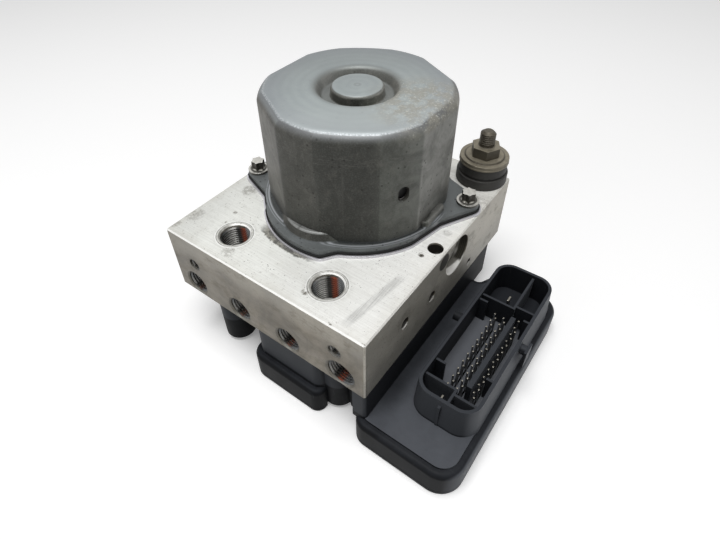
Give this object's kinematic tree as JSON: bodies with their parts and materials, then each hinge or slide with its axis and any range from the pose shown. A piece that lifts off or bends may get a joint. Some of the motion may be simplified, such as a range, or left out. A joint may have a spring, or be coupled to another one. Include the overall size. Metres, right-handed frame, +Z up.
{
  "type": "abs brake module",
  "caption": "Anti-lock brake module: ported aluminium block with a flanged pump motor on top, a rubber mount and a control unit with connector socket below.",
  "frame": {"origin": "centre of the bounding box in X and Y, on the underside of the control unit's lid", "axes": "+X along the row of wheel ports towards the connector, +Y from the wheel-port face to the back, +Z up towards the motor"},
  "size_m": [0.1256, 0.108, 0.1008],
  "materials": {
    "block": "milled and sawn, faint brushed grain with stains",
    "can": "zinc plated, dull, speckled with pale corrosion",
    "plate": "zinc plated sheet",
    "bolt": "light zinc plating, worn",
    "brass_plated": "yellowish brown zinc plating, stained",
    "rubber": "dull black",
    "seal": "black sealing bead",
    "plastic": "fine moulded texture",
    "insulator": "plain moulded",
    "board": "green lacquered laminate",
    "magnet": "dark ferrite",
    "core": "stacked iron sheets",
    "ground_steel": "ground and polished",
    "copper": "enamelled copper wire",
    "carbon": "pressed carbon",
    "spring_steel": "oiled spring wire",
    "contact": "tinned contact metal"
  },
  "bodies": {
    "module": {"hydraulic_block": "block", "gallery_plugs": "ground_steel", "motor_end_plate": "plate", "motor_seal": "seal", "motor_can": "can", "motor_bolts": "bolt", "motor_magnets": "magnet", "top_bearing": "ground_steel", "flange_bearing": "ground_steel", "tail_bearing": "ground_steel", "brush_holder": "insulator", "brushes": "carbon", "motor_terminals": "copper", "terminal_guide": "insulator", "left_pump_sleeve": "ground_steel", "right_pump_sleeve": "ground_steel", "left_pump_plug": "plate", "right_pump_plug": "plate", "left_pump_spring": "spring_steel", "right_pump_spring": "spring_steel", "left_accumulator_cap": "plate", "right_accumulator_cap": "plate", "left_accumulator_spring": "spring_steel", "right_accumulator_spring": "spring_steel", "inlet_valves": "ground_steel", "outlet_valves": "ground_steel", "coil_yokes": "plate", "coil_windings": "copper", "coil_terminals": "contact", "rubber_bush": "rubber", "bush_band": "plate", "mount_washer": "brass_plated", "mount_nut": "brass_plated", "mount_stud": "brass_plated", "ecu_housing": "plastic", "ecu_cover": "plastic", "ecu_seal": "seal", "ecu_screws": "bolt", "circuit_board": "board", "signal_pins": "contact", "power_blades": "contact"},
    "rotor": {"rotor_shaft": "ground_steel", "eccentric_bearing": "ground_steel", "rotor_core": "core", "rotor_windings": "copper", "commutator": "copper"},
    "left_piston": {"left_pump_piston": "ground_steel"},
    "right_piston": {"right_pump_piston": "ground_steel"},
    "left_accumulator": {"left_accumulator_piston": "insulator"},
    "right_accumulator": {"right_accumulator_piston": "insulator"}
  },
  "joints": [
    {"name": "rotor_spin", "type": "hinge", "parent": "module", "child": "rotor", "pos_m": [-0.0174, 0.00725, 0.0665], "axis": [0, 0, 1], "continuous": true},
    {"name": "left_pump_stroke", "type": "slide", "parent": "module", "child": "left_piston", "axis": [-1, 0, 0], "range_m": [0, 0.0022], "stiffness_N_per_m": 500, "springref_m": -0.002, "deforming": ["left_pump_spring"]},
    {"name": "right_pump_stroke", "type": "slide", "parent": "module", "child": "right_piston", "axis": [1, 0, 0], "range_m": [0, 0.0022], "stiffness_N_per_m": 500, "springref_m": -0.002, "deforming": ["right_pump_spring"]},
    {"name": "left_accumulator_travel", "type": "slide", "parent": "module", "child": "left_accumulator", "axis": [0, 0, -1], "range_m": [0, 0.006], "stiffness_N_per_m": 300, "springref_m": -0.005, "deforming": ["left_accumulator_spring"]},
    {"name": "right_accumulator_travel", "type": "slide", "parent": "module", "child": "right_accumulator", "axis": [0, 0, -1], "range_m": [0, 0.006], "stiffness_N_per_m": 300, "springref_m": -0.005, "deforming": ["right_accumulator_spring"]}
  ]
}
